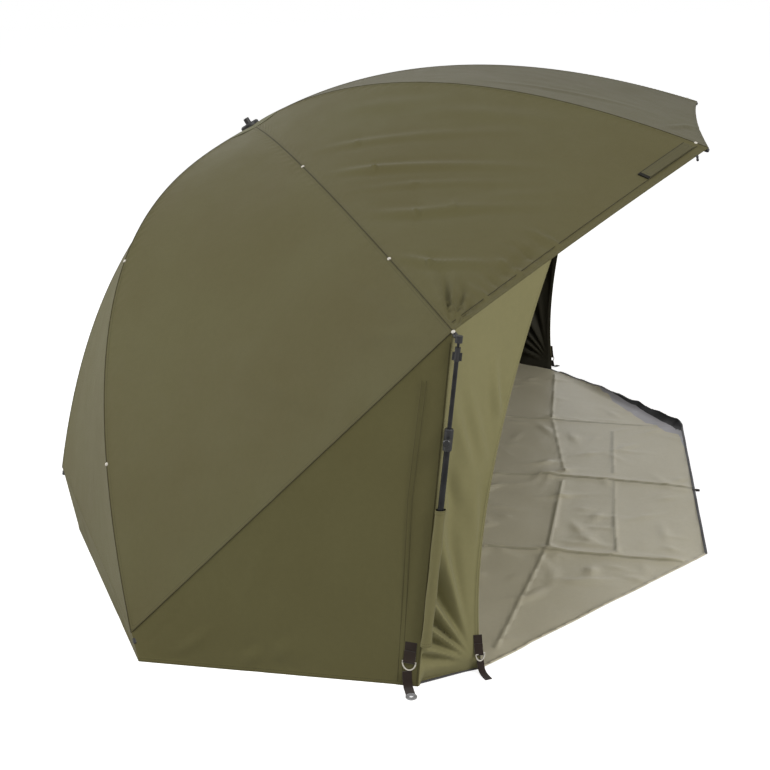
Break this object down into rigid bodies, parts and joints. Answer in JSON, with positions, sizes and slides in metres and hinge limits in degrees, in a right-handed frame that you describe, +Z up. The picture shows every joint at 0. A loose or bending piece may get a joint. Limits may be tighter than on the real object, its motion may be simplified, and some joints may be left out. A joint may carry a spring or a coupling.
{
  "type": "fishing umbrella",
  "caption": "Wide oval fishing umbrella shelter with tilted ribbed canopy, storm poles, side and rear walls, short front wings and a groundsheet.",
  "frame": {"origin": "on the ground at the middle of the plan", "axes": "+Z up, front towards -Y, +X to the right seen from the front"},
  "size_m": [3.0868, 1.9032, 1.2871],
  "materials": {
    "canopy_cloth": "plain-woven nylon, olive green, proofed",
    "wall_cloth": "plain-woven nylon, olive green",
    "sheet_cloth": "coated ripstop, silver-green sheen",
    "webbing": "dark brown woven webbing",
    "black_plastic": "moulded nylon",
    "pale_plastic": "moulded, cream",
    "black_metal": "satin black paint on aluminium tube",
    "bright_metal": "plated steel wire"
  },
  "bodies": {
    "groundsheet": {"groundsheet": "sheet_cloth"},
    "canopy": {"gore_front": "canopy_cloth", "gore_front_left": "canopy_cloth", "gore_front_right": "canopy_cloth", "gore_rear": "canopy_cloth", "gore_rear_left": "canopy_cloth", "gore_rear_right": "canopy_cloth", "gore_side_left": "canopy_cloth", "gore_side_right": "canopy_cloth", "hub_boss": "black_plastic", "hub_cap": "black_plastic", "hub_spigot": "black_plastic", "pivot_ring": "bright_metal", "rear_flap": "wall_cloth", "rear_flap_left": "wall_cloth", "rear_flap_right": "wall_cloth", "side_wall_left": "wall_cloth", "side_wall_right": "wall_cloth"},
    "lock_collar": {"lock_collar": "black_plastic"},
    "rib_front_left": {"rib_front_left": "black_metal", "tip_front_left": "black_plastic"},
    "rib_side_left": {"rib_side_left": "black_metal", "tip_side_left": "black_plastic", "pole_upper_left": "black_metal", "pole_sleeve_left": "wall_cloth", "wing_left": "wall_cloth", "foot_tab_left": "webbing", "corner_tab_left": "webbing"},
    "rib_corner_left": {"rib_corner_left": "black_metal", "tip_corner_left": "black_plastic"},
    "rib_rear_left": {"rib_rear_left": "black_metal", "tip_rear_left": "black_plastic"},
    "rib_front_right": {"rib_front_right": "black_metal", "tip_front_right": "black_plastic"},
    "rib_side_right": {"rib_side_right": "black_metal", "tip_side_right": "black_plastic", "pole_upper_right": "black_metal", "pole_sleeve_right": "wall_cloth", "wing_right": "wall_cloth", "foot_tab_right": "webbing", "corner_tab_right": "webbing"},
    "rib_corner_right": {"rib_corner_right": "black_metal", "tip_corner_right": "black_plastic"},
    "rib_rear_right": {"rib_rear_right": "black_metal", "tip_rear_right": "black_plastic"},
    "pole_lower_left": {"pole_lower_left": "black_metal", "pole_clamp_left": "black_plastic"},
    "clamp_knob_left": {"clamp_knob_left": "black_plastic"},
    "butterfly_nut_left": {"butterfly_nut_left": "black_plastic"},
    "peg_ring_left": {"corner_ring_left": "pale_plastic", "peg_strap_left": "webbing"},
    "foot_ring_left": {"foot_ring_left": "pale_plastic"},
    "pole_lower_right": {"pole_lower_right": "black_metal", "pole_clamp_right": "black_plastic"},
    "clamp_knob_right": {"clamp_knob_right": "black_plastic"},
    "butterfly_nut_right": {"butterfly_nut_right": "black_plastic"},
    "peg_ring_right": {"corner_ring_right": "pale_plastic", "peg_strap_right": "webbing"},
    "foot_ring_right": {"foot_ring_right": "pale_plastic"}
  },
  "joints": [
    {"name": "boss_lift", "type": "slide", "parent": "groundsheet", "child": "canopy", "axis": [0, 0, 1], "range_m": [0, 0.86], "deforming": ["corner_tab_left", "corner_tab_right", "foot_tab_left", "foot_tab_right", "gore_front", "gore_front_left", "gore_front_right", "gore_rear", "gore_rear_left", "gore_rear_right", "gore_side_left", "gore_side_right", "peg_strap_left", "peg_strap_right", "pole_sleeve_left", "pole_sleeve_right", "rear_flap", "rear_flap_left", "rear_flap_right", "side_wall_left", "side_wall_right", "wing_left", "wing_right"]},
    {"name": "fold_front_left", "type": "hinge", "parent": "canopy", "child": "rib_front_left", "pos_m": [-0.01517, 0.40565, 1.14382], "axis": [0.8949, -0.3864, 0.2231], "range_deg": [0, 34]},
    {"name": "fold_side_left", "type": "hinge", "parent": "canopy", "child": "rib_side_left", "pos_m": [-0.03183, 0.42164, 1.13459], "axis": [0.3518, -0.8107, 0.468], "range_deg": [0, 34]},
    {"name": "fold_corner_left", "type": "hinge", "parent": "canopy", "child": "rib_corner_left", "pos_m": [-0.03148, 0.44313, 1.12218], "axis": [-0.3778, -0.8018, 0.4629], "range_deg": [0, 34]},
    {"name": "fold_rear_left", "type": "hinge", "parent": "canopy", "child": "rib_rear_left", "pos_m": [-0.01643, 0.45778, 1.11372], "axis": [-0.8755, -0.4185, 0.2416], "range_deg": [0, 34]},
    {"name": "fold_front_right", "type": "hinge", "parent": "canopy", "child": "rib_front_right", "pos_m": [0.01517, 0.40565, 1.14382], "axis": [0.8949, 0.3864, -0.2231], "range_deg": [0, 34]},
    {"name": "fold_side_right", "type": "hinge", "parent": "canopy", "child": "rib_side_right", "pos_m": [0.03183, 0.42164, 1.13459], "axis": [0.3518, 0.8107, -0.468], "range_deg": [0, 34]},
    {"name": "fold_corner_right", "type": "hinge", "parent": "canopy", "child": "rib_corner_right", "pos_m": [0.03148, 0.44313, 1.12218], "axis": [-0.3778, 0.8018, -0.4629], "range_deg": [0, 34]},
    {"name": "fold_rear_right", "type": "hinge", "parent": "canopy", "child": "rib_rear_right", "pos_m": [0.01643, 0.45778, 1.11372], "axis": [-0.8755, 0.4185, -0.2416], "range_deg": [0, 34]},
    {"name": "lock_collar_slide", "type": "slide", "parent": "canopy", "child": "lock_collar", "axis": [0, -0.5, -0.866], "range_m": [0, 0.035]},
    {"name": "pole_slide_left", "type": "slide", "parent": "rib_side_left", "child": "pole_lower_left", "axis": [-0.0236, 0.124, -0.992], "range_m": [-0.14, 0.11]},
    {"name": "clamp_knob_left_turn", "type": "hinge", "parent": "pole_lower_left", "child": "clamp_knob_left", "pos_m": [-1.47702, -0.34354, 0.60462], "axis": [-1, 0, 0], "range_deg": [0, 360]},
    {"name": "butterfly_nut_left_turn", "type": "hinge", "parent": "rib_side_left", "child": "butterfly_nut_left", "pos_m": [-1.46109, -0.36995, 0.81592], "axis": [-0.0236, 0.124, -0.992], "range_deg": [0, 360]},
    {"name": "peg_ring_left_swing", "type": "hinge", "parent": "rib_side_left", "child": "peg_ring_left", "pos_m": [-1.46734, -0.23889, 0.06173], "axis": [0.1057, 0.9879, 0.1133], "range_deg": [0, 70]},
    {"name": "foot_ring_left_swing", "type": "hinge", "parent": "rib_side_left", "child": "foot_ring_left", "pos_m": [-1.38124, -0.39544, 0.04786], "axis": [-0.6341, 0.7733, -0.0021], "range_deg": [0, 70]},
    {"name": "pole_slide_right", "type": "slide", "parent": "rib_side_right", "child": "pole_lower_right", "axis": [0.0236, 0.124, -0.992], "range_m": [-0.14, 0.11]},
    {"name": "clamp_knob_right_turn", "type": "hinge", "parent": "pole_lower_right", "child": "clamp_knob_right", "pos_m": [1.47702, -0.34354, 0.60462], "axis": [1, 0, 0], "range_deg": [0, 360]},
    {"name": "butterfly_nut_right_turn", "type": "hinge", "parent": "rib_side_right", "child": "butterfly_nut_right", "pos_m": [1.46109, -0.36995, 0.81592], "axis": [0.0236, 0.124, -0.992], "range_deg": [0, 360]},
    {"name": "peg_ring_right_swing", "type": "hinge", "parent": "rib_side_right", "child": "peg_ring_right", "pos_m": [1.46734, -0.23889, 0.06173], "axis": [0.1057, -0.9879, -0.1133], "range_deg": [0, 70]},
    {"name": "foot_ring_right_swing", "type": "hinge", "parent": "rib_side_right", "child": "foot_ring_right", "pos_m": [1.38124, -0.39544, 0.04786], "axis": [-0.6341, -0.7733, 0.0021], "range_deg": [0, 70]}
  ],
  "couplings": [
    {"joint": "fold_front_left", "follows": "boss_lift", "rad_per_m": 0.68932},
    {"joint": "fold_side_left", "follows": "boss_lift", "rad_per_m": 0.68932},
    {"joint": "fold_corner_left", "follows": "boss_lift", "rad_per_m": 0.68932},
    {"joint": "fold_rear_left", "follows": "boss_lift", "rad_per_m": 0.68932},
    {"joint": "fold_front_right", "follows": "boss_lift", "rad_per_m": 0.68932},
    {"joint": "fold_side_right", "follows": "boss_lift", "rad_per_m": 0.68932},
    {"joint": "fold_corner_right", "follows": "boss_lift", "rad_per_m": 0.68932},
    {"joint": "fold_rear_right", "follows": "boss_lift", "rad_per_m": 0.68932},
    {"joint": "lock_collar_slide", "follows": "boss_lift", "ratio": 0.03488}
  ]
}
